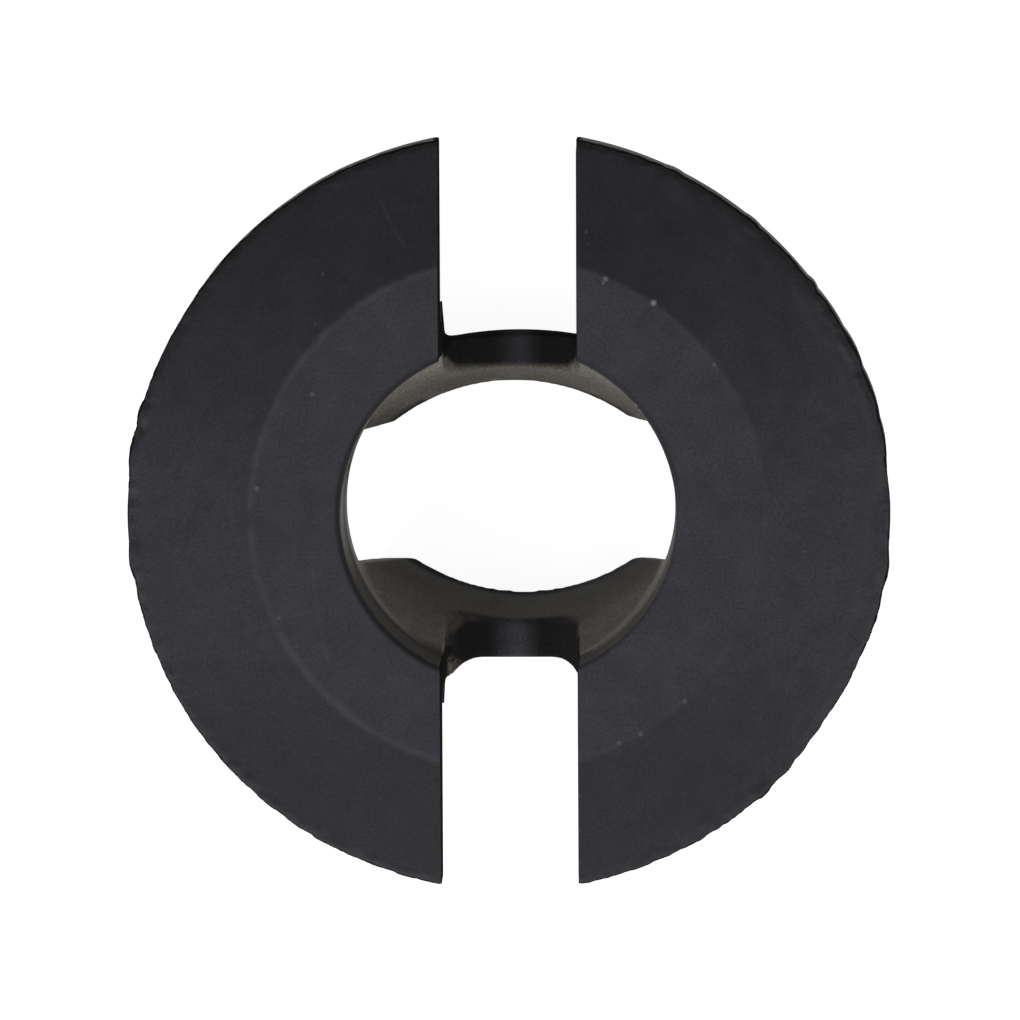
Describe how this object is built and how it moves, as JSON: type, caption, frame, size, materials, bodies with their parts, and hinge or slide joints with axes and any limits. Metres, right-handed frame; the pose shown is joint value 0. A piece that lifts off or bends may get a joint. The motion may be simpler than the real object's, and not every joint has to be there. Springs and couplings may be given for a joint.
{
  "type": "rubber grommet",
  "caption": "Split rubber grommet: a broad half-moon flange, a panel groove and a tapered cross-slotted nose round a central bore.",
  "frame": {"origin": "centre of the nose end, on the bore's axis", "axes": "+Z along the bore's axis, out of the flange face; +Y along the two slots in the face"},
  "size_m": [0.04, 0.0394, 0.012],
  "materials": {
    "rubber": "matte moulded black rubber, slightly dusty"
  },
  "bodies": {
    "root": {"grommet": "rubber"}
  },
  "joints": []
}
